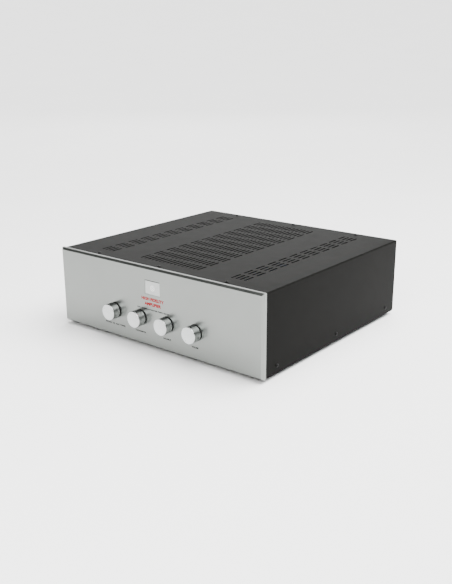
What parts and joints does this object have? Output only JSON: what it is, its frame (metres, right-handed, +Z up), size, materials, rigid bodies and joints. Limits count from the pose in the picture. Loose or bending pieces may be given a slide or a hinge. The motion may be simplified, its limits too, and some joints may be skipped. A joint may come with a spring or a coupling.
{
  "type": "power amplifier",
  "caption": "Full-width stereo audio amplifier with a thick aluminium front, turned control knobs, a slotted wrap-round cover and rear terminals.",
  "frame": {"origin": "on the surface the feet stand on, under the middle of the overall box", "axes": "+Z up; the front panel faces -Y; +X is to the right of someone facing the front panel"},
  "size_m": [0.4452, 0.453, 0.1428],
  "materials": {
    "panel_aluminium": "bead-blasted satin anodised",
    "knob_aluminium": "fine turned, satin anodised",
    "badge": "pale satin plate",
    "cover_paint": "fine satin black powder coat",
    "black_paint": "fine satin black powder coat",
    "zinc": "zinc plated",
    "black_screw": "black oxide",
    "rubber": "moulded",
    "felt": "pressed black felt",
    "shaft_steel": "ground",
    "control_body": "nickel plated with resin wafers",
    "core_steel": "varnished laminations",
    "coil_wrap": "varnished copper wire under tape",
    "circuit_board": "green solder mask",
    "ceramic": "glazed ceramic",
    "valve_glass": "clear",
    "electrodes": "carbonised nickel",
    "capacitor_sleeve": "heat-shrunk sleeve",
    "gold_plate": "gold plated",
    "white_plastic": "moulded",
    "red_plastic": "moulded",
    "black_plastic": "moulded",
    "nickel": "nickel plated",
    "fuse_glass": "glass tube with nickel caps"
  },
  "bodies": {
    "chassis": {"front_panel": "panel_aluminium", "badge_plate": "badge", "top_cover": "cover_paint", "rear_panel": "black_paint", "rear_flanges": "black_paint", "base_tray": "black_paint", "front_subpanel": "zinc", "transformer_brackets": "zinc", "transformer_bolts": "zinc", "board_pillars": "zinc", "panel_nuts": "zinc", "frame_screws": "zinc", "foot_screws": "zinc", "cover_screws": "black_screw", "rubber_feet": "rubber", "knob_washers": "felt", "selector_switch": "control_body", "monitor_switch": "control_body", "balance_potentiometer": "control_body", "volume_potentiometer": "control_body", "transformer_cores": "core_steel", "transformer_coils": "coil_wrap", "circuit_board": "circuit_board", "valve_sockets": "ceramic", "valve_glasses": "valve_glass", "valve_electrodes": "electrodes", "supply_capacitors": "capacitor_sleeve", "input_socket_shells": "gold_plate", "input_socket_contacts": "gold_plate", "speaker_studs": "gold_plate", "left_socket_cores": "white_plastic", "right_socket_cores": "red_plastic", "input_socket_washers": "black_plastic", "speaker_bushes": "black_plastic", "mains_inlet": "black_plastic", "rocker_frame": "black_plastic", "inlet_pins": "nickel"},
    "selector_control": {"selector_knob": "knob_aluminium", "selector_grub_screw": "black_screw", "selector_shaft": "shaft_steel"},
    "monitor_control": {"monitor_knob": "knob_aluminium", "monitor_grub_screw": "black_screw", "monitor_shaft": "shaft_steel"},
    "balance_control": {"balance_knob": "knob_aluminium", "balance_grub_screw": "black_screw", "balance_shaft": "shaft_steel"},
    "volume_control": {"volume_knob": "knob_aluminium", "volume_grub_screw": "black_screw", "volume_shaft": "shaft_steel"},
    "rocker": {"power_rocker": "black_plastic"},
    "fuse_holder": {"fuse_drawer": "black_plastic", "fuse": "fuse_glass"},
    "right_positive_carrier": {"right_positive_washer": "gold_plate"},
    "right_positive_thumb_nut": {"right_positive_nut": "red_plastic"},
    "right_negative_carrier": {"right_negative_washer": "gold_plate"},
    "right_negative_thumb_nut": {"right_negative_nut": "black_plastic"},
    "left_positive_carrier": {"left_positive_washer": "gold_plate"},
    "left_positive_thumb_nut": {"left_positive_nut": "red_plastic"},
    "left_negative_carrier": {"left_negative_washer": "gold_plate"},
    "left_negative_thumb_nut": {"left_negative_nut": "black_plastic"}
  },
  "joints": [
    {"name": "selector_turn", "type": "hinge", "parent": "chassis", "child": "selector_control", "pos_m": [-0.09, -0.21, 0.0525], "axis": [0, 1, 0], "range_deg": [0, 120]},
    {"name": "monitor_turn", "type": "hinge", "parent": "chassis", "child": "monitor_control", "pos_m": [-0.03, -0.21, 0.0525], "axis": [0, 1, 0], "range_deg": [0, 60]},
    {"name": "balance_turn", "type": "hinge", "parent": "chassis", "child": "balance_control", "pos_m": [0.03, -0.21, 0.0525], "axis": [0, 1, 0], "range_deg": [-145, 145]},
    {"name": "volume_turn", "type": "hinge", "parent": "chassis", "child": "volume_control", "pos_m": [0.09, -0.21, 0.0525], "axis": [0, 1, 0], "range_deg": [0, 300]},
    {"name": "rocker_tilt", "type": "hinge", "parent": "chassis", "child": "rocker", "pos_m": [-0.128, 0.1995, 0.058], "axis": [1, 0, 0], "range_deg": [0, 16]},
    {"name": "fuse_drawer_slide", "type": "slide", "parent": "chassis", "child": "fuse_holder", "axis": [0, 1, 0], "range_m": [0, 0.022]},
    {"name": "right_positive_travel", "type": "slide", "parent": "chassis", "child": "right_positive_carrier", "axis": [0, 1, 0], "range_m": [0, 0.004]},
    {"name": "right_positive_turn", "type": "hinge", "parent": "right_positive_carrier", "child": "right_positive_thumb_nut", "pos_m": [-0.08805, 0.20615, 0.058], "axis": [0, 1, 0], "range_deg": [0, 1440]},
    {"name": "right_negative_travel", "type": "slide", "parent": "chassis", "child": "right_negative_carrier", "axis": [0, 1, 0], "range_m": [0, 0.004]},
    {"name": "right_negative_turn", "type": "hinge", "parent": "right_negative_carrier", "child": "right_negative_thumb_nut", "pos_m": [-0.069, 0.20615, 0.058], "axis": [0, 1, 0], "range_deg": [0, 1440]},
    {"name": "left_positive_travel", "type": "slide", "parent": "chassis", "child": "left_positive_carrier", "axis": [0, 1, 0], "range_m": [0, 0.004]},
    {"name": "left_positive_turn", "type": "hinge", "parent": "left_positive_carrier", "child": "left_positive_thumb_nut", "pos_m": [-0.02905, 0.20615, 0.058], "axis": [0, 1, 0], "range_deg": [0, 1440]},
    {"name": "left_negative_travel", "type": "slide", "parent": "chassis", "child": "left_negative_carrier", "axis": [0, 1, 0], "range_m": [0, 0.004]},
    {"name": "left_negative_turn", "type": "hinge", "parent": "left_negative_carrier", "child": "left_negative_thumb_nut", "pos_m": [-0.01, 0.20615, 0.058], "axis": [0, 1, 0], "range_deg": [0, 1440]}
  ],
  "couplings": [
    {"joint": "right_positive_turn", "follows": "right_positive_travel", "rad_per_m": 6283.2},
    {"joint": "right_negative_turn", "follows": "right_negative_travel", "rad_per_m": 6283.2},
    {"joint": "left_positive_turn", "follows": "left_positive_travel", "rad_per_m": 6283.2},
    {"joint": "left_negative_turn", "follows": "left_negative_travel", "rad_per_m": 6283.2}
  ]
}
